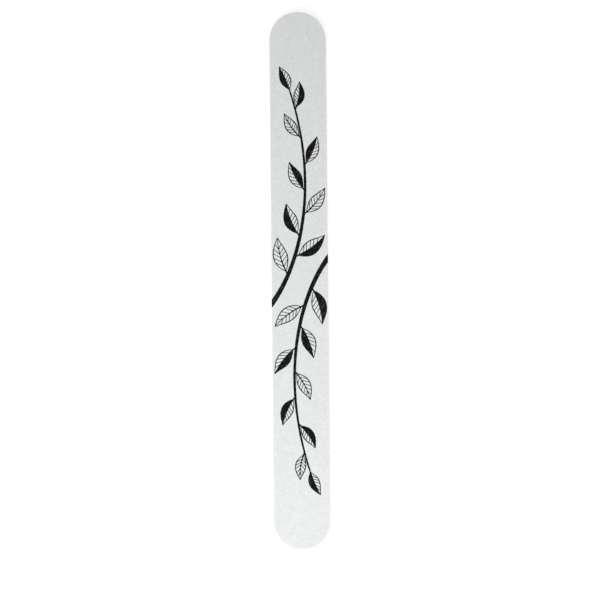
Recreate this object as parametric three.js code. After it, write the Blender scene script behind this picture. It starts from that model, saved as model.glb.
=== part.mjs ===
// Nail buffer: a straight hand board with round ends, for smoothing and buffing finger nails.
// It is a bonded laminate. A stiff plastic splint in the middle carries a foam pad on each side, each pad
// is faced with abrasive-coated paper, and adhesive films hold the layers together.
// Millimetres, +Z up. The board lies on its back face at z = 0, centred on X and Y, with its length along Y.
import * as THREE from "three";
import { toCreasedNormals } from "three/addons/utils/BufferGeometryUtils.js";

// Outline of the board, whose ends are full half circles.
const boardLength = 180;
const boardWidth = 19;

// Thickness of each layer, from the middle of the board outwards.
const splintThickness = 0.92;
const splintFilmThickness = 0.08; // adhesive between splint and foam
const foamThickness = 1.1;
const sheetFilmThickness = 0.08; // adhesive between foam and paper
const paperThickness = 0.16;
const coatThickness = 0.12; // abrasive grain and its resin on the paper

// The cut edge. The cutting rule enters from the front and draws that sheet down at its rim. The back lies
// on the cutting bed, so its rim turns in less. Foam springs back after the cut, so its edge is hollow.
const frontRollDepth = 0.08;
const frontRollWidth = 0.8;
const backRollDepth = 0.05;
const backRollWidth = 0.4;
const foamDrawIn = 0.14;

// Facets of the curved stretches, and the angle past which an edge between facets is sharp.
const endSegments = 36;
const rollSteps = 4;
const foamEdgeSteps = 6;
const creaseAngle = Math.PI / 9;

const noRoll = { depth: 0, width: 0 };

// The board's outline, drawn in by a distance, as points that run anticlockwise round both ends.
function outlinePoints(drawnIn) {
  const radius = boardWidth / 2 - drawnIn;
  const endCentre = (boardLength - boardWidth) / 2;
  const points = [];
  for (const end of [1, -1]) {
    for (let i = 0; i <= endSegments; i++) {
      const angle = (Math.PI * i) / endSegments;
      const x = radius * Math.cos(angle);
      const y = endCentre + radius * Math.sin(angle);
      points.push(new THREE.Vector2(end * x, end * y));
    }
  }
  return points;
}

// Section of a face of a layer, from its flat middle out to the rim, where it turns by the roll's depth,
// which is positive upwards.
function faceSection(height, roll) {
  if (roll.width === 0) {
    return [{ drawnIn: 0, height }];
  }
  const section = [];
  for (let i = 0; i <= rollSteps; i++) {
    const reach = i / rollSteps;
    section.push({ drawnIn: roll.width * (1 - reach), height: height + roll.depth * reach ** 2 });
  }
  return section;
}

// Section of a layer's cut edge between its two rims, hollowed by a parabola of the given depth.
function edgeSection(lowerRim, upperRim, drawIn) {
  const section = [];
  if (drawIn === 0) {
    return section;
  }
  for (let i = 1; i < foamEdgeSteps; i++) {
    const rise = i / foamEdgeSteps;
    section.push({
      drawnIn: drawIn * 4 * rise * (1 - rise),
      height: THREE.MathUtils.lerp(lowerRim.height, upperRim.height, rise),
    });
  }
  return section;
}

// Carries a section round the board's outline, and closes it with a flat face below and above.
function loftRoundBoard(section) {
  const rings = section.map(({ drawnIn }) => outlinePoints(drawnIn));
  const count = rings[0].length;
  const positions = rings.flatMap((ring, r) => ring.flatMap((p) => [p.x, p.y, section[r].height]));
  const triangles = [];
  for (let r = 0; r + 1 < rings.length; r++) {
    for (let i = 0; i < count; i++) {
      const next = (i + 1) % count;
      const [low, lowNext] = [r * count + i, r * count + next];
      const [high, highNext] = [low + count, lowNext + count];
      triangles.push(low, lowNext, highNext, low, highNext, high);
    }
  }
  const top = (rings.length - 1) * count;
  for (const [a, b, c] of THREE.ShapeUtils.triangulateShape(rings[0], [])) {
    triangles.push(a, c, b);
  }
  for (const [a, b, c] of THREE.ShapeUtils.triangulateShape(rings.at(-1), [])) {
    triangles.push(top + a, top + b, top + c);
  }
  const geometry = new THREE.BufferGeometry();
  geometry.setAttribute("position", new THREE.Float32BufferAttribute(positions, 3));
  geometry.setIndex(triangles);
  return toCreasedNormals(geometry, creaseAngle);
}

// One layer on its own lower face at z = 0.
function layerGeometry({ thickness, lowerRoll = noRoll, upperRoll = noRoll, drawIn = 0 }) {
  const lower = faceSection(0, lowerRoll);
  const upper = faceSection(thickness, upperRoll);
  const edge = edgeSection(lower.at(-1), upper.at(-1), drawIn);
  return loftRoundBoard([...lower, ...edge, ...upper.reverse()]);
}

const finishes = {
  coat: { color: 0xe3e5e1, roughness: 0.85, metalness: 0 },
  paper: { color: 0xf3f1ea, roughness: 0.9, metalness: 0 },
  film: { color: 0xe9e2c8, roughness: 0.35, metalness: 0 },
  foam: { color: 0xe9e9e5, roughness: 0.95, metalness: 0 },
  splint: { color: 0xd6d6d4, roughness: 0.45, metalness: 0 },
};

// The layers of one side from the splint outwards. A roll turns both faces of the sheet alike, and the foam
// takes it up: its bonded face towards the splint stays flat.
function sideLayers(side, roll) {
  const rolled = { innerRoll: roll, outerRoll: roll };
  const rolledOutside = { outerRoll: roll, drawIn: foamDrawIn };
  return [
    { name: `${side}_splint_film`, thickness: splintFilmThickness, finish: finishes.film },
    { name: `${side}_foam_pad`, thickness: foamThickness, finish: finishes.foam, ...rolledOutside },
    { name: `${side}_sheet_film`, thickness: sheetFilmThickness, finish: finishes.film, ...rolled },
    { name: `${side}_backing_paper`, thickness: paperThickness, finish: finishes.paper, ...rolled },
    { name: `${side}_abrasive_coat`, thickness: coatThickness, finish: finishes.coat, ...rolled },
  ];
}

// A roll turns towards the splint: up on the back of the board, and down on the front.
const back = sideLayers("back", { depth: backRollDepth, width: backRollWidth })
  .reverse()
  .map((layer) => ({ ...layer, lowerRoll: layer.outerRoll, upperRoll: layer.innerRoll }));
const splint = { name: "centre_splint", thickness: splintThickness, finish: finishes.splint };
const front = sideLayers("front", { depth: -frontRollDepth, width: frontRollWidth })
  .map((layer) => ({ ...layer, lowerRoll: layer.innerRoll, upperRoll: layer.outerRoll }));

const board = new THREE.Group();
board.name = "nail_buffer";
let level = 0;
for (const layer of [...back, splint, ...front]) {
  const mesh = new THREE.Mesh(layerGeometry(layer), new THREE.MeshStandardMaterial(layer.finish));
  mesh.name = layer.name;
  mesh.position.z = level;
  board.add(mesh);
  level += layer.thickness;
}

export default board;
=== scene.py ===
import math
import random

import bpy
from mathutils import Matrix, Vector, kdtree, noise
from mathutils.geometry import delaunay_2d_cdt, interpolate_bezier


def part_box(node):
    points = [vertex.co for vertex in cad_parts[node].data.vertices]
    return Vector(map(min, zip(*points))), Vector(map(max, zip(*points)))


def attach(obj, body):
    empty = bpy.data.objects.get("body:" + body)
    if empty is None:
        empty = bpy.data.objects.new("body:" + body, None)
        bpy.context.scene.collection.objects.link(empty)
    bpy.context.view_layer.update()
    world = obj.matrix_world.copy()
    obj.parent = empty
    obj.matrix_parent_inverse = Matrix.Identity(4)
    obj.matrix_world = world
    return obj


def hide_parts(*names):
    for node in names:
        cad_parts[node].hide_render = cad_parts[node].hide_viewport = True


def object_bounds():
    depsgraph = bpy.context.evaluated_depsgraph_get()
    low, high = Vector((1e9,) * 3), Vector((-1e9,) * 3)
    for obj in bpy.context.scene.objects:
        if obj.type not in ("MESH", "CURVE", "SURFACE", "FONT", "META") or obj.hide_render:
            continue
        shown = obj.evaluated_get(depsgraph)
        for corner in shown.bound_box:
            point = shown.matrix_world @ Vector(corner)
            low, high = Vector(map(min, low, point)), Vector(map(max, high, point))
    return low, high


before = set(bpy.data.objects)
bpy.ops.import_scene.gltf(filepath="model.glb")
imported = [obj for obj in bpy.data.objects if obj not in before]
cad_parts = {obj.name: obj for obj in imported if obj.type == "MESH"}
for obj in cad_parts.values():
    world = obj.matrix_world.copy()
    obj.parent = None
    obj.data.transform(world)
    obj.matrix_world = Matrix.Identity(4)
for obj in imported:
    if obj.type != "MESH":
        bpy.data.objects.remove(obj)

# The nail buffer lies on its back with the printed face up. Shapes are worked out in millimetres.
cadLow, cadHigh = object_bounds()
mm = 0.001

# Layers of a side from the outside inwards
sideLayers = ["abrasive_coat", "backing_paper", "sheet_film", "foam_pad", "splint_film"]
backNodes = [f"back_{layer}" for layer in sideLayers]
frontNodes = [f"front_{layer}" for layer in reversed(sideLayers)]
splintNode = "centre_splint"

# Each layer's lower and upper level over the flat middle of the board. A rolled rim turns towards the splint,
# so the outer side of each layer's box is its flat level.
flatLevels = [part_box(n)[0].z / mm for n in backNodes + [splintNode]]
flatLevels += [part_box(n)[1].z / mm for n in [splintNode] + frontNodes]
layerLevels = dict(zip(backNodes + [splintNode] + frontNodes, zip(flatLevels, flatLevels[1:])))

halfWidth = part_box(splintNode)[1].x / mm
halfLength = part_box(splintNode)[1].y / mm
endCentre = halfLength - halfWidth   # centre of each round end, up and down the board

cutEdge = {                          # the same cut edge as in the solids, in finer steps
    "frontRollDepth": 0.08,
    "frontRollWidth": 0.8,
    "backRollDepth": 0.05,
    "backRollWidth": 0.4,
    "foamDrawIn": 0.14,
    "rollSteps": 6,
}
print(f"frame: board {2 * halfWidth:.1f} x {2 * halfLength:.1f} mm, {len(layerLevels)} layers")


# Colours and shader nodes
def linear(hexColour):               # sRGB hex to the linear colour that sockets take
    channels = [int(hexColour[i:i + 2], 16) / 255 for i in (1, 3, 5)]
    return [c / 12.92 if c <= 0.04045 else ((c + 0.055) / 1.055) ** 2.4 for c in channels] + [1.0]


def addNode(tree, kind, values):     # values are settings, socket values, or sockets to link from
    node = tree.nodes.new("ShaderNode" + kind)
    for name, value in values.items():
        if name == "stops":          # a ramp's places and colours
            for place, colour in value[1:-1]:
                node.color_ramp.elements.new(place)
            for stop, (place, colour) in zip(node.color_ramp.elements, value):
                stop.position = place
                stop.color = linear(colour)
        elif isinstance(value, bpy.types.NodeSocket):
            tree.links.new(value, node.inputs[name])
        elif isinstance(name, int) or name in node.inputs:
            node.inputs[name].default_value = value
        else:
            setattr(node, name, value)
    return node


def newMaterial(name):
    material = bpy.data.materials.new(name)
    material.use_nodes = True
    material.node_tree.nodes.clear()
    return material, material.node_tree


def patternScale(sizeInMm):          # texture scale that gives cells or waves of this size
    return 1 / (sizeInMm * mm)


# White aluminium oxide in resin under a stearate load: matt and chalky, with a salt-and-pepper speckle of
# grains, a few dark stray ones and a paler rim, where the cut chipped the coat and where a highlight is
# painted for the rolled rim catching light. The grit is about 0.06 mm, and is drawn 5 times as coarse, so
# that it shows.
def stearatedAbrasive():
    material, tree = newMaterial("stearated aluminium oxide, roll coated")
    place = addNode(tree, "TexCoord", {}).outputs["Object"]
    grains = addNode(tree, "TexVoronoi", {"Vector": place, "Scale": patternScale(0.3)})
    grainTone = addNode(tree, "ValToRGB", {"Fac": grains.outputs["Color"], "stops": [
        (0.0, "#d8d9d5"), (0.25, "#e0e1dd"), (0.75, "#e6e7e3"), (1.0, "#edeeea")]})
    mottle = addNode(tree, "TexNoise", {
        "Vector": place, "Scale": patternScale(2.2), "Detail": 5.0, "Roughness": 0.65})
    mottleTone = addNode(tree, "ValToRGB", {"Fac": mottle.outputs["Fac"], "stops": [
        (0.3, "#f7f8f7"), (0.7, "#ffffff")]})
    mottled = addNode(tree, "Mix", {"data_type": "RGBA", "blend_type": "MULTIPLY", 0: 1.0,
                                    6: grainTone.outputs["Color"], 7: mottleTone.outputs["Color"]})
    strays = addNode(tree, "TexVoronoi", {"Vector": place, "Scale": patternScale(6.0)})
    strayTone = addNode(tree, "ValToRGB", {"Fac": strays.outputs["Distance"], "stops": [
        (0.03, "#e6e7e4"), (0.06, "#ffffff")]})
    speckled = addNode(tree, "Mix", {"data_type": "RGBA", "blend_type": "MULTIPLY", 0: 1.0,
                                     6: mottled.outputs[2], 7: strayTone.outputs["Color"]})
    # paler towards the rim: chipped coat, and a painted highlight where the rolled rim catches light
    rim = addNode(tree, "Attribute", {"attribute_name": "rim"})
    chipAndHighlight = addNode(tree, "Mix", {"data_type": "RGBA", 0: rim.outputs["Fac"],
                                    6: speckled.outputs[2], 7: linear("#f4f5f3")})
    grit = addNode(tree, "TexNoise", {"Vector": place, "Scale": patternScale(0.16), "Detail": 3.0})
    bump = addNode(tree, "Bump", {"Strength": 0.5, "Distance": 0.03 * mm, "Height": grit.outputs["Fac"]})
    dullness = addNode(tree, "MapRange", {"Value": grit.outputs["Fac"], "To Min": 0.62, "To Max": 0.92})
    shader = addNode(tree, "BsdfPrincipled", {
        "Base Color": chipAndHighlight.outputs[2], "Roughness": dullness.outputs["Result"], "IOR": 1.5,
        "Specular IOR Level": 0.3, "Normal": bump.outputs["Normal"]})
    addNode(tree, "OutputMaterial", {"Surface": shader.outputs["BSDF"]})
    return material


# Black solvent ink, screen printed on grit: a dead flat blue-black, with paler grains that stand through it.
# Those grains are drawn coarser than the grit, so that they show on thin lines too.
def screenInk():
    material, tree = newMaterial("black solvent ink, screen printed")
    place = addNode(tree, "TexCoord", {}).outputs["Object"]
    grains = addNode(tree, "TexVoronoi", {"Vector": place, "Scale": patternScale(0.45)})
    cover = addNode(tree, "ValToRGB", {"Fac": grains.outputs["Color"], "stops": [
        (0.0, "#050608"), (0.45, "#0d0e11"), (0.75, "#1b1c20"), (1.0, "#48494c")]})
    grit = addNode(tree, "TexNoise", {"Vector": place, "Scale": patternScale(0.2), "Detail": 3.0})
    bump = addNode(tree, "Bump", {"Strength": 0.35, "Distance": 0.02 * mm, "Height": grit.outputs["Fac"]})
    shader = addNode(tree, "BsdfPrincipled", {
        "Base Color": cover.outputs["Color"], "Roughness": 0.72, "IOR": 1.48,
        "Specular IOR Level": 0.05, "Normal": bump.outputs["Normal"]})
    addNode(tree, "OutputMaterial", {"Surface": shader.outputs["BSDF"]})
    return material


# Latex-saturated white paper, die cut: a warm, fibrous cut line. Its fibres are about 0.03 mm thick, and are
# drawn some 10 times as coarse, so that they show.
def latexPaper():
    material, tree = newMaterial("latex paper, die cut")
    place = addNode(tree, "TexCoord", {}).outputs["Object"]
    fibres = addNode(tree, "TexNoise", {
        "Vector": place, "Scale": patternScale(0.35), "Detail": 6.0, "Distortion": 1.2})
    tone = addNode(tree, "ValToRGB", {"Fac": fibres.outputs["Fac"], "stops": [
        (0.3, "#e4e0d5"), (0.7, "#f7f5ef")]})
    bump = addNode(tree, "Bump", {"Strength": 0.4, "Distance": 0.02 * mm, "Height": fibres.outputs["Fac"]})
    shader = addNode(tree, "BsdfPrincipled", {
        "Base Color": tone.outputs["Color"], "Roughness": 0.88, "IOR": 1.47,
        "Specular IOR Level": 0.3, "Normal": bump.outputs["Normal"]})
    addNode(tree, "OutputMaterial", {"Surface": shader.outputs["BSDF"]})
    return material


# Acrylic transfer adhesive, die cut: a thin straw-coloured line with a soft gloss, smeared by the cut.
def acrylicFilm():
    material, tree = newMaterial("acrylic transfer adhesive, die cut")
    place = addNode(tree, "TexCoord", {}).outputs["Object"]
    smear = addNode(tree, "TexNoise", {"Vector": place, "Scale": patternScale(0.8), "Detail": 4.0})
    tone = addNode(tree, "ValToRGB", {"Fac": smear.outputs["Fac"], "stops": [
        (0.3, "#d8cfb2"), (0.7, "#ebe5d0")]})
    gloss = addNode(tree, "MapRange", {"Value": smear.outputs["Fac"], "To Min": 0.25, "To Max": 0.5})
    shader = addNode(tree, "BsdfPrincipled", {
        "Base Color": tone.outputs["Color"], "Roughness": gloss.outputs["Result"], "IOR": 1.47})
    addNode(tree, "OutputMaterial", {"Surface": shader.outputs["BSDF"]})
    return material


# Closed-cell polyethylene foam, die cut: chalk white, with painted shade in the cups of the opened cells.
# Wrinkles of their skin are about 0.03 mm, and are drawn 4 times as coarse, so that they show.
def closedCellFoam():
    material, tree = newMaterial("closed-cell polyethylene foam, die cut")
    place = addNode(tree, "TexCoord", {}).outputs["Object"]
    cup = addNode(tree, "Attribute", {"attribute_name": "cup"})
    # darker the deeper into a cup: painted shade
    tone = addNode(tree, "ValToRGB", {"Fac": cup.outputs["Fac"], "stops": [
        (0.0, "#f2f2ef"), (0.6, "#e9e9e5"), (1.0, "#d2d2cd")]})
    skin = addNode(tree, "TexNoise", {"Vector": place, "Scale": patternScale(0.12), "Detail": 3.0})
    bump = addNode(tree, "Bump", {"Strength": 0.4, "Distance": 0.02 * mm, "Height": skin.outputs["Fac"]})
    shader = addNode(tree, "BsdfPrincipled", {
        "Base Color": tone.outputs["Color"], "Roughness": 0.9, "IOR": 1.5,
        "Specular IOR Level": 0.25, "Normal": bump.outputs["Normal"]})
    addNode(tree, "OutputMaterial", {"Surface": shader.outputs["BSDF"]})
    return material


# High-impact polystyrene sheet, die cut: milky, satin, with upright score lines from the cutting rule. They
# are about 0.1 mm apart, and are drawn 3 times as coarse, so that they show.
def polystyreneSheet():
    material, tree = newMaterial("high-impact polystyrene sheet, die cut")
    place = addNode(tree, "TexCoord", {}).outputs["Object"]
    upright = addNode(tree, "Mapping", {"Vector": place, "Scale": (1.0, 1.0, 0.04)})
    scores = addNode(tree, "TexNoise", {
        "Vector": upright.outputs["Vector"], "Scale": patternScale(0.3), "Detail": 5.0})
    tone = addNode(tree, "ValToRGB", {"Fac": scores.outputs["Fac"], "stops": [
        (0.25, "#cfcfcd"), (0.75, "#dcdcda")]})
    gloss = addNode(tree, "MapRange", {"Value": scores.outputs["Fac"], "To Min": 0.32, "To Max": 0.58})
    bump = addNode(tree, "Bump", {"Strength": 0.3, "Distance": 0.02 * mm, "Height": scores.outputs["Fac"]})
    shader = addNode(tree, "BsdfPrincipled", {
        "Base Color": tone.outputs["Color"], "Roughness": gloss.outputs["Result"], "IOR": 1.59,
        "Normal": bump.outputs["Normal"]})
    addNode(tree, "OutputMaterial", {"Surface": shader.outputs["BSDF"]})
    return material


materials = {
    "abrasive_coat": stearatedAbrasive(),
    "ink": screenInk(),
    "backing_paper": latexPaper(),
    "adhesive_film": acrylicFilm(),
    "foam": closedCellFoam(),
    "splint_plastic": polystyreneSheet(),
}
print(f"materials: {len(materials)}")


# The board's outline
def insetOf(x, y):                   # distance of a point inside the outline
    return halfWidth - math.hypot(x, max(abs(y) - endCentre, 0.0))


def outwardAt(x, y):                 # direction straight out of the outline
    past = math.copysign(max(abs(y) - endCentre, 0.0), y)
    reach = math.hypot(x, past)
    return x / reach, past / reach


def outlineRing(step):               # points about a step apart, anticlockwise from the right-hand side
    sidePoints = round(2 * endCentre / step)
    endPoints = round(math.pi * halfWidth / step)
    ring = []
    for end in (1, -1):
        for i in range(endPoints):
            angle = math.pi * i / endPoints
            ring.append((end * halfWidth * math.cos(angle), end * (endCentre + halfWidth * math.sin(angle))))
        for i in range(sidePoints):
            ring.append((-end * halfWidth, end * (endCentre - 2 * endCentre * i / sidePoints)))
    return ring


def rollOf(side):                    # depth and width of the roll on a side, with up as positive
    if side == "front":
        return -cutEdge["frontRollDepth"], cutEdge["frontRollWidth"]
    return cutEdge["backRollDepth"], cutEdge["backRollWidth"]


def faceSection(level, depth, width):  # from the flat middle out to the rim
    if depth == 0:
        return [(0.0, level)]
    steps = [i / cutEdge["rollSteps"] for i in range(cutEdge["rollSteps"] + 1)]
    return [(width * (1 - s), level + depth * s ** 2) for s in steps]


def addPiece(name, vertices, faces, node, slot, smoothAngle):
    mesh = bpy.data.meshes.new(name)
    mesh.from_pydata([(x * mm, y * mm, z * mm) for x, y, z in vertices], [], faces)
    mesh.polygons.foreach_set("use_smooth", [True] * len(mesh.polygons))
    mesh.set_sharp_from_angle(angle=math.radians(smoothAngle))
    mesh.materials.append(materials[slot])
    piece = bpy.data.objects.new(name, mesh)
    bpy.context.scene.collection.objects.link(piece)
    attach(piece, "root")
    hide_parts(node)
    return piece


def addField(piece, name, values):   # one number for each vertex, which a material reads
    field = piece.data.attributes.new(name, "FLOAT", "POINT")
    field.data.foreach_set("value", values)


def loftRound(ring, section, shift):  # carries a section round the board and closes it with two flat faces
    vertices = []
    for row, (inset, height) in enumerate(section):
        for x, y in ring:
            outX, outY = outwardAt(x, y)
            drawn = inset + shift(x, y, height, row)
            vertices.append((x - outX * drawn, y - outY * drawn, height))
    count = len(ring)
    faces = []
    for row in range(len(section) - 1):
        for i in range(count):
            a, b = row * count + i, row * count + (i + 1) % count
            faces.append((a, b, b + count, a + count))
    top = (len(section) - 1) * count
    faces.append(tuple(range(count - 1, -1, -1)))
    faces.append(tuple(range(top, top + count)))
    return vertices, faces


def setBakeMap(piece, corners, width, height):  # places of all face corners on a map of this size, in mm
    places = [place for x, y in corners for place in (x / width, y / height)]
    piece.data.uv_layers.new(name="OFBake").data.foreach_set("uv", places)


edgeMap = {                          # how the edge of such a layer is laid out for baking
    "strips": 4,                     # the edge is cut into this many strips, one above another
    "margin": 0.5,                   # round each strip
}


def addEdgeMap(piece, ring, section):
    strips, margin, count = edgeMap["strips"], edgeMap["margin"], len(ring)
    along, across = [0.0], [0.0]
    for i in range(count):
        along.append(along[i] + math.dist(ring[i], ring[(i + 1) % count]))
    for start, finish in zip(section, section[1:]):
        across.append(across[-1] + math.dist(start, finish))
    perStrip = math.ceil(count / strips)
    stripLength = max(along[min(i + perStrip, count)] - along[i] for i in range(0, count, perStrip))
    stripHeight = across[-1] + 2 * margin
    gluedScale = stripLength / (2 * halfLength)   # the glued faces are never seen, so they are drawn small
    gluedHeight = 2 * halfWidth * gluedScale + 2 * margin
    corners = []
    for row in range(len(section) - 1):
        for i in range(count):
            strip = i // perStrip
            left, right = (along[k] - along[strip * perStrip] + margin for k in (i, i + 1))
            low, high = (strip * stripHeight + across[k] + margin for k in (row, row + 1))
            corners += [(left, low), (right, low), (right, high), (left, high)]
    for face, (order, way) in enumerate([(ring[::-1], 1), (ring, -1)]):   # the lower face, then the upper one
        level = strips * stripHeight + face * gluedHeight + margin
        for x, y in order:
            mapX, mapY = (y + halfLength) * gluedScale + margin, (halfWidth + way * x) * gluedScale + level
            corners.append((mapX, mapY))
    setBakeMap(piece, corners, stripLength + 2 * margin, strips * stripHeight + 2 * gluedHeight)


# Splint, films and papers: thin sheets that show only their cut edge
sheets = {
    "outlineStep": 0.45,             # between points round the outline
    "smoothAngle": 35,               # a sharper bend than this, in degrees, shows as an edge
}
drawnBack = {                        # how far a sheet draws back from the cut, how evenly, and waves per mm
    "backing_paper": {"reach": 0.018, "evenness": 0.5, "along": 2.1, "upward": 9.0},    # fibres
    "adhesive_film": {"reach": 0.03, "evenness": 0.7, "along": 0.9, "upward": 1.0},     # shrinkage
    "splint_plastic": {"reach": 0.008, "evenness": 0.5, "along": 3.0, "upward": 0.0},   # upright score lines
}


def sheetPiece(name, node, slot, depth=0.0, width=0.0):
    cut = drawnBack[slot]

    def drawBack(x, y, height, row):
        wave = noise.noise((x * cut["along"], y * cut["along"], height * cut["upward"]))
        return cut["reach"] * (cut["evenness"] + (1 - cut["evenness"]) * wave)

    lower, upper = layerLevels[node]
    section = faceSection(lower, depth, width) + faceSection(upper, depth, width)[::-1]
    ring = outlineRing(sheets["outlineStep"])
    sheet = addPiece(name, *loftRound(ring, section, drawBack), node, slot, sheets["smoothAngle"])
    addEdgeMap(sheet, ring, section)


for side in ("front", "back"):
    sheetPiece(f"{side}Paper", f"{side}_backing_paper", "backing_paper", *rollOf(side))
    sheetPiece(f"{side}SheetFilm", f"{side}_sheet_film", "adhesive_film", *rollOf(side))
    sheetPiece(f"{side}SplintFilm", f"{side}_splint_film", "adhesive_film")
sheetPiece("splint", splintNode, "splint_plastic")
print("sheets: splint, films and papers")


# Foam pads: bonded flat above and below, with a hollow cut edge that is pitted by opened cells
foam = {
    "outlineStep": 0.13,
    "edgeRows": 10,
    "cellSize": 0.34,                # cells are about 0.2 mm and are drawn larger, so that they show
    "cupDepth": 0.07,
    "cupSteepness": 1.6,             # how soon a cup is at its full depth, away from the walls between cells
    "smoothAngle": 60,
    "fill": 0.9,                     # from 0, slack, to 1, tight
}


def foamPad(side):
    node = f"{side}_foam_pad"
    lower, upper = layerLevels[node]
    lowerSection, upperSection = [(0.0, lower)], [(0.0, upper)]
    if side == "front":              # the face towards the paper follows its roll
        upperSection = faceSection(upper, *rollOf(side))
    else:
        lowerSection = faceSection(lower, *rollOf(side))
    lowRim, highRim = lowerSection[-1][1], upperSection[-1][1]
    edge = []
    for i in range(1, foam["edgeRows"]):
        rise = i / foam["edgeRows"]
        edge.append((cutEdge["foamDrawIn"] * 4 * rise * (1 - rise), lowRim + (highRim - lowRim) * rise))
    firstEdge, lastEdge = len(lowerSection), len(lowerSection) + len(edge) - 1
    cupShades = []

    def openCell(x, y, height, row):
        if not firstEdge <= row <= lastEdge:
            cupShades.append(0.0)
            return 0.0
        near = noise.voronoi(Vector((x, y, height)) / foam["cellSize"])[0]
        cup = min(1.0, max(0.0, near[1] - near[0]) * foam["cupSteepness"])   # 0 on the walls between cells
        cupShades.append(cup)
        return foam["cupDepth"] * cup

    section = lowerSection + edge + upperSection[::-1]
    ring = outlineRing(foam["outlineStep"])
    pad = addPiece(f"{side}Foam", *loftRound(ring, section, openCell), node, "foam", foam["smoothAngle"])
    # the painted shade of the cups, which the foam's colour reads
    addField(pad, "cup", cupShades)
    addEdgeMap(pad, ring, section)


for side in ("front", "back"):
    foamPad(side)
print("foam pads: two")


# The print: two leafy sprigs that grow in from the long edges, the second one turned half round
sprigs = {
    "stem": [(10.6, 9.0), (0.5, -3.0), (-7.5, -30.0), (2.6, -63.0)],   # corners of its curve, x and y
    "stemWidth": (1.9, 0.6),         # at the foot and at the tip
    "stemTaper": 0.7,                # under 1, so that it thins soon after the foot
    "stemPoints": 240,
    "leafCount": 8,
    "leafSpan": (0.24, 0.94),        # places of the first and the last leaf along the stem
    "leafLength": (13.0, 9.5),       # from the first leaf to the last
    "leafAngle": (52, 36),           # from the stem, in degrees
    "leafBend": 26,                  # how far a leaf's tip turns back along the stem
    "endLeafBend": 12,
    "leafCurve": 0.35,               # reach of the bend from each end of a leaf, as a share of its length
    "leafSlim": 0.36,                # width of a leaf as a share of its length
    "leafFullest": 0.86,             # under 1, so that it is fullest a little before the middle
    "leafPoint": 1.12,               # over 1, so that both ends are drawn out
    "leafStalk": 0.1,                # share of a leaf's length before its blade starts
    "lineWidth": 0.36,
    "ribTaper": (1.5, 0.6),          # at the foot and at the tip, in line widths
    "rimSwell": (0.65, 0.35),        # at the ends, and what is added in the middle, in line widths
    "veinWidth": 0.24,
    "veinCount": 5,
    "veinStart": 0.16,               # the first vein, as a share of the blade
    "veinSpan": 0.62,                # stretch of the blade that the veins are spread over
    "veinSlant": 0.17,               # how far a vein runs on towards the tip
    "pointStep": 0.25,
}
leafStyles = ["leftFilled", "veined", "rightFilled"]


def between(pair, share):
    return pair[0] + (pair[1] - pair[0]) * share


def heading(degrees):
    return Vector((math.cos(math.radians(degrees)), math.sin(math.radians(degrees))))


def leftOf(line, i):                 # unit vector to the left of a line at one of its points
    along = line[min(i + 1, len(line) - 1)] - line[max(i - 1, 0)]
    return Vector((-along.y, along.x)).normalized()


def stroke(line, widthAt):           # a pen line as one closed outline, anticlockwise as the fill needs it
    last = len(line) - 1
    reach = [leftOf(line, i) * widthAt(i / last) / 2 for i in range(last + 1)]
    left = [p + r for p, r in zip(line, reach)]
    right = [p - r for p, r in zip(line, reach)]
    return right + left[::-1]


def veinShapes(blade, edge):         # slanting lines from the rib to one edge of a leaf
    last = len(blade) - 1
    shapes = []
    for k in range(sprigs["veinCount"]):
        at = round(last * (sprigs["veinStart"] + sprigs["veinSpan"] * k / sprigs["veinCount"]))
        to = min(last - 1, at + round(last * sprigs["veinSlant"]))
        steps = max(3, round((edge[to] - blade[at]).length / sprigs["pointStep"]))
        line = [blade[at].lerp(edge[to], j / steps) for j in range(steps + 1)]
        shapes.append(stroke(line, lambda share: sprigs["veinWidth"]))
    return shapes


def leafShapes(foot, aim, length, bend, style):  # aim in degrees from +x; bend turns the tip
    start, finish = heading(aim), heading(aim + bend)
    tip = foot + (start + finish).normalized() * length
    count = max(8, round(length / sprigs["pointStep"]))
    curve = sprigs["leafCurve"]
    rib = interpolate_bezier(foot, foot + start * length * curve, tip - finish * length * curve, tip, count)
    blade = rib[round(count * sprigs["leafStalk"]):]
    last = len(blade) - 1
    left, right = [], []
    for i, p in enumerate(blade):
        swell = math.sin(math.pi * (i / last) ** sprigs["leafFullest"]) ** sprigs["leafPoint"]
        spread = leftOf(blade, i) * swell * length * sprigs["leafSlim"] / 2
        left.append(p + spread)
        right.append(p - spread)
    line = sprigs["lineWidth"]
    (ribFoot, ribTip), (thin, swollen) = sprigs["ribTaper"], sprigs["rimSwell"]
    shapes = [stroke(rib, lambda share: between((line * ribFoot, line * ribTip), share))]
    for edge in (left, right):
        shapes.append(stroke(edge, lambda share: line * (thin + swollen * math.sin(math.pi * share))))
    if style == "leftFilled":
        shapes.append(blade[:-1] + left[:0:-1])
    else:
        shapes += veinShapes(blade, left)
    if style == "rightFilled":
        shapes.append(right[:-1] + blade[:0:-1])
    else:
        shapes += veinShapes(blade, right)
    return shapes


def sprigShapes(turn, firstStyle):   # turn is 1, or -1 for the sprig that is turned half round
    stem = interpolate_bezier(*[Vector(p) * turn for p in sprigs["stem"]], sprigs["stemPoints"])
    last = len(stem) - 1
    shapes = [stroke(stem, lambda share: between(sprigs["stemWidth"], share ** sprigs["stemTaper"]))]
    for k in range(sprigs["leafCount"] + 1):
        share = k / (sprigs["leafCount"] - 1)
        i = min(last, round(last * between(sprigs["leafSpan"], share)))
        sideways = leftOf(stem, i)
        along = math.degrees(math.atan2(sideways.y, sideways.x)) - 90
        way = (-1) ** k
        style = leafStyles[(k + firstStyle) % len(leafStyles)]
        if k < sprigs["leafCount"]:
            aim = along + way * between(sprigs["leafAngle"], share)
            shapes += leafShapes(stem[i], aim, between(sprigs["leafLength"], share),
                                 -way * sprigs["leafBend"], style)
        else:                        # the last one ends the stem
            shapes += leafShapes(stem[last], along, sprigs["leafLength"][1], sprigs["endLeafBend"], style)
    return shapes


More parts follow.
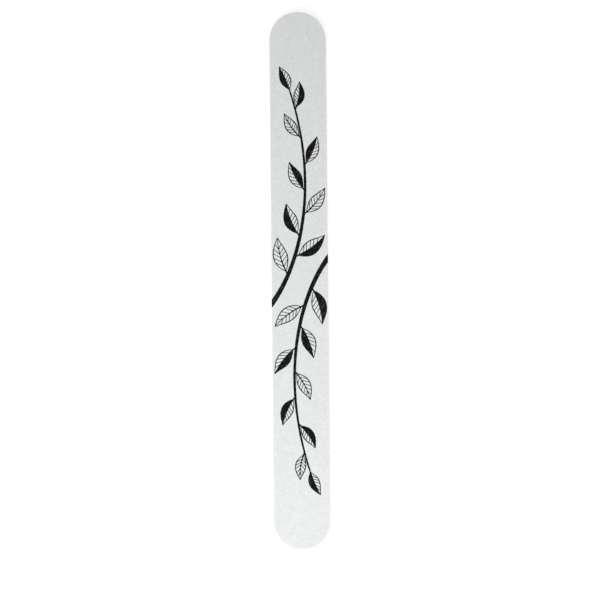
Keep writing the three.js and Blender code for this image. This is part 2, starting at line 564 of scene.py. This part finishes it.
# Abrasive faces: a coat of grains in resin on the paper, rolled at the rim
abrasive = {
    "grainPitch": 0.27,              # grit is about 0.06 mm and is drawn larger, so that it shows
    "jitter": 0.32,                  # how far a grain strays from its row, as a share of the pitch
    "grainRelief": 0.045,
    "grainDepth": 0.7,               # under 1, so that more grains lie deep than stand high
    "inkedRelief": 0.55,             # ink fills the valleys, so this share of the relief is left
    "clearance": 0.09,               # between a loose grain and a drawn line
    "mergeWithin": 1e-5,             # points this near become one
    "smoothAngle": 50,
    "chipAndHighlightWidth": 0.8,             # width of the rim where the cut chipped the coat and a highlight is painted
    "chipAndHighlightTone": 0.35,             # how much paler that rim is
    "chipAndHighlightSpread": (0.5, 1.0),     # least and most of that tone from one grain to the next
    "bakeStrips": 3,                 # the face's map lies in this many strips side by side
    "bakeMargin": 1.6,
    "seed": 7,
}


def looseGrains(rng, inkShapes):     # rows of grains, each a little out of place, clear of drawn lines
    drawn = [p for shape in inkShapes for p in shape]
    lines = kdtree.KDTree(len(drawn))
    for i, p in enumerate(drawn):
        lines.insert((p.x, p.y, 0.0), i)
    lines.balance()
    pitch = abrasive["grainPitch"]
    rise = pitch * math.sqrt(3) / 2
    stray = abrasive["jitter"] * pitch
    grains = []
    for row in range(math.ceil(2 * halfLength / rise)):
        for column in range(math.ceil(2 * halfWidth / pitch) + 1):
            x = -halfWidth + (column + 0.5 * (row % 2)) * pitch + rng.uniform(-stray, stray)
            y = -halfLength + row * rise + rng.uniform(-stray, stray)
            if insetOf(x, y) < 0.5 * pitch:
                continue
            if not drawn or lines.find((x, y, 0.0))[2] > abrasive["clearance"]:
                grains.append(Vector((x, y)))
    return grains


def borderLoop(triangles):           # the outer edges of a patch of triangles, in order
    edges = {(t[i - 1], t[i]) for t in triangles for i in range(3)}
    following = {a: b for a, b in edges if (b, a) not in edges}
    loop = [min(following)]
    while following[loop[-1]] != loop[0]:
        loop.append(following[loop[-1]])
    return loop


def addFaceMap(piece, places):       # the face in strips side by side, so that it is baked sharp both ways
    strips, margin = abrasive["bakeStrips"], abrasive["bakeMargin"]
    stripLength = 2 * halfLength / strips
    stripWidth = 2 * (halfWidth + margin)
    gluedScale = 1 / strips          # the glued side is never seen, so it is drawn small
    glued = len(piece.data.polygons) - 1
    corners = []
    for polygon in piece.data.polygons:
        middle = sum(places[v][1] for v in polygon.vertices) / len(polygon.vertices)
        strip = min(strips - 1, max(0, int((middle + halfLength) / stripLength)))
        for v in polygon.vertices:
            x, y = places[v][0] + halfWidth + margin, places[v][1] + halfLength
            if polygon.index == glued:
                corners.append((strips * stripWidth + x * gluedScale, y * gluedScale))
            else:
                corners.append((strip * stripWidth + x, y - strip * stripLength + margin))
    setBakeMap(piece, corners, (strips + gluedScale) * stripWidth, stripLength + 2 * margin)


def abrasiveFace(side, inkShapes):
    node = f"{side}_abrasive_coat"
    lower, upper = layerLevels[node]
    outer, inner, up = (upper, lower, 1) if side == "front" else (lower, upper, -1)
    depth, width = rollOf(side)
    rng = random.Random(abrasive["seed"] + up)
    points = [Vector(p) for p in outlineRing(abrasive["grainPitch"])]
    outlines = [list(range(len(points)))]
    for shape in inkShapes:
        outlines.append(list(range(len(points), len(points) + len(shape))))
        points += shape
    points += looseGrains(rng, inkShapes)
    flat, _, triangles, _, _, within = delaunay_2d_cdt(
        points, [], outlines, 0, abrasive["mergeWithin"], True)
    kept = [(t, max(w) > 0) for t, w in zip(triangles, within) if 0 in w]   # outline 0 is the board's own
    inked = {v for t, ink in kept if ink for v in t}
    used = sorted({v for t, _ in kept for v in t})
    index = {v: i for i, v in enumerate(used)}

    vertices, places, rims = [], [], []
    for v in used:
        x, y = flat[v]
        inset = max(0.0, insetOf(x, y))
        relief = abrasive["grainRelief"] * (abrasive["inkedRelief"] if v in inked else 1.0)
        grain = relief * rng.random() ** abrasive["grainDepth"]
        vertices.append((x, y, outer - up * grain + depth * max(0.0, 1 - inset / width) ** 2))
        places.append((x, y))
        # the paler rim: chipped coat, and a painted highlight of the rolled rim
        chipAndHighlightShare = max(0.0, 1 - inset / abrasive["chipAndHighlightWidth"])
        rims.append(abrasive["chipAndHighlightTone"] * chipAndHighlightShare * rng.uniform(*abrasive["chipAndHighlightSpread"]))
    patch = [tuple(index[v] for v in t) for t, _ in kept]
    border = borderLoop(patch)
    faces = [t if up > 0 else t[::-1] for t in patch]
    previous, reach = border, abs(outer - inner)
    for inset, height in faceSection(inner, depth, width)[::-1]:   # down the cut edge and in under the coat
        ring = list(range(len(vertices), len(vertices) + len(border)))
        for i in border:
            x, y = places[i]
            outX, outY = outwardAt(x, y)
            vertices.append((x - outX * inset, y - outY * inset, height))
            places.append((x + outX * (inset + reach), y + outY * (inset + reach)))
            # the cut edge takes the whole paler tone: chipped coat and painted highlight
            rims.append(abrasive["chipAndHighlightTone"])
        for i in range(len(border)):
            quad = (previous[i], previous[i - 1], ring[i - 1], ring[i])
            faces.append(quad[::-1] if up > 0 else quad)
        previous = ring
    faces.append(tuple(previous[::-1] if up > 0 else previous))

    face = addPiece(f"{side}Abrasive", vertices, faces, node, "abrasive_coat", abrasive["smoothAngle"])
    if inkShapes:
        face.data.materials.append(materials["ink"])
        inks = [int(ink) for _, ink in kept]
        face.data.polygons.foreach_set("material_index", inks + [0] * (len(faces) - len(inks)))
    addField(face, "rim", rims)
    addFaceMap(face, places)
    return len(faces)


printShapes = sprigShapes(1, 0) + sprigShapes(-1, 1)
print(f"front face: {abrasiveFace('front', printShapes)} faces, with {len(printShapes)} printed outlines")
print(f"back face: {abrasiveFace('back', [])} faces")

# Stage, light and camera
stage = {                            # lengths in metres
    "floorSize": 2.0,
    "floorDrop": 0.00002,            # just under the board, so that the two never coincide
    "floorClear": 0.12,              # the floor fades into the white room from here
    "floorEnd": 0.32,
    "floorGlow": 0.7,                # share of plain white in the floor; the rest shows the shadow
    "floorWhite": 1.2,
    "skyStrength": 0.2,              # the light that the sky gives
    "skyWhite": 1.05,                # the backdrop that is seen; a little over white, so that it stays even
}


def showsBackdrop(tree):             # 1 for the rays that see the backdrop itself: camera, gloss and glass
    path = addNode(tree, "LightPath", {})
    mirrored = addNode(tree, "Math", {
        "operation": "MAXIMUM", 0: path.outputs["Is Camera Ray"], 1: path.outputs["Is Glossy Ray"]})
    return addNode(tree, "Math", {
        "operation": "MAXIMUM", 0: mirrored.outputs[0], 1: path.outputs["Is Transmission Ray"]}).outputs[0]


def paleFloor():
    material, tree = newMaterial("white studio paper")
    place = addNode(tree, "TexCoord", {}).outputs["Object"]
    away = addNode(tree, "VectorMath", {"operation": "LENGTH", 0: place})
    fade = addNode(tree, "MapRange", {
        "interpolation_type": "SMOOTHSTEP", "Value": away.outputs["Value"],
        "From Min": stage["floorClear"], "From Max": stage["floorEnd"]})
    share = addNode(tree, "Math", {"operation": "MULTIPLY", 0: showsBackdrop(tree), 1: stage["floorGlow"]})
    paper = addNode(tree, "BsdfDiffuse", {"Color": linear("#e7e7e7")})
    white = addNode(tree, "Emission", {"Color": linear("#ffffff"), "Strength": stage["floorWhite"]})
    lit = addNode(tree, "MixShader", {
        0: share.outputs[0], 1: paper.outputs["BSDF"], 2: white.outputs["Emission"]})
    clear = addNode(tree, "BsdfTransparent", {})
    faded = addNode(tree, "MixShader", {
        0: fade.outputs["Result"], 1: lit.outputs["Shader"], 2: clear.outputs["BSDF"]})
    addNode(tree, "OutputMaterial", {"Surface": faded.outputs["Shader"]})
    return material


def makeFloor():
    half = stage["floorSize"] / 2
    mesh = bpy.data.meshes.new("floor")
    corners = [(-half, -half), (half, -half), (half, half), (-half, half)]
    mesh.from_pydata([(x, y, -stage["floorDrop"]) for x, y in corners], [], [(0, 1, 2, 3)])
    mesh.materials.append(paleFloor())
    floor = bpy.data.objects.new("floor", mesh)
    bpy.context.scene.collection.objects.link(floor)


def makeSky():
    world = bpy.data.worlds.new("studio")
    world.use_nodes = True
    tree = world.node_tree
    tree.nodes.clear()
    light = addNode(tree, "Background", {"Color": linear("#ffffff"), "Strength": stage["skyStrength"]})
    seen = addNode(tree, "Background", {"Color": linear("#ffffff"), "Strength": stage["skyWhite"]})
    mix = addNode(tree, "MixShader", {
        0: showsBackdrop(tree), 1: light.outputs["Background"], 2: seen.outputs["Background"]})
    addNode(tree, "OutputWorld", {"Surface": mix.outputs["Shader"]})
    bpy.context.scene.world = world


lamps = {                            # place in metres, power in watts, side in metres
    "key": {"place": (-0.09, -0.22, 0.40), "power": 2.0, "side": 0.3, "colour": "#f9fbff"},
    "fillRight": {"place": (0.6, 0.22, 0.12), "power": 1.6, "side": 0.5, "colour": "#ffffff"},
    "fillLeft": {"place": (-0.6, 0.22, 0.12), "power": 1.25, "side": 0.5, "colour": "#ffffff"},
}


def makeLamps():
    for name, lamp in lamps.items():
        light = bpy.data.lights.new(name, "AREA")
        light.energy = lamp["power"]
        light.color = linear(lamp["colour"])[:3]
        light.size = lamp["side"]
        lampObject = bpy.data.objects.new(name, light)
        lampObject.location = lamp["place"]
        lampObject.rotation_euler = (-Vector(lamp["place"])).to_track_quat("-Z", "Y").to_euler()
        bpy.context.scene.collection.objects.link(lampObject)


picture = {                          # how the photograph frames the board, in its 600 x 600 pixels
    "side": 600,
    "boardMiddle": (299.85, 280.9),
    "boardLengthInPixels": 538.0,
    "lean": -0.54,                   # camera roll in degrees; the board's top leans to the left
    "lens": 100.0,                   # lens and sensor in millimetres
    "sensor": 36.0,
    "clipStart": 0.01,               # in metres
}


def makeCamera():
    pixel = 2 * halfLength * mm / picture["boardLengthInPixels"]
    distance = picture["side"] * pixel * picture["lens"] / picture["sensor"]
    middle = picture["side"] / 2
    offset = Vector((picture["boardMiddle"][0] - middle, middle - picture["boardMiddle"][1]))
    turn = math.radians(picture["lean"])
    right = Vector((math.cos(turn), math.sin(turn)))
    upward = Vector((-math.sin(turn), math.cos(turn)))
    aim = -(right * offset.x + upward * offset.y) * pixel
    camera = bpy.data.cameras.new("camera")
    camera.lens = picture["lens"]
    camera.sensor_width = picture["sensor"]
    camera.clip_start = picture["clipStart"]
    cameraObject = bpy.data.objects.new("camera", camera)
    cameraObject.location = (aim.x, aim.y, cadHigh.z + distance)
    cameraObject.rotation_euler = (0.0, 0.0, turn)
    bpy.context.scene.collection.objects.link(cameraObject)
    bpy.context.scene.camera = cameraObject


makeFloor()
makeSky()
makeLamps()
makeCamera()
bpy.context.scene.view_settings.view_transform = "Standard"
print("stage: floor, sky, lamps and camera")
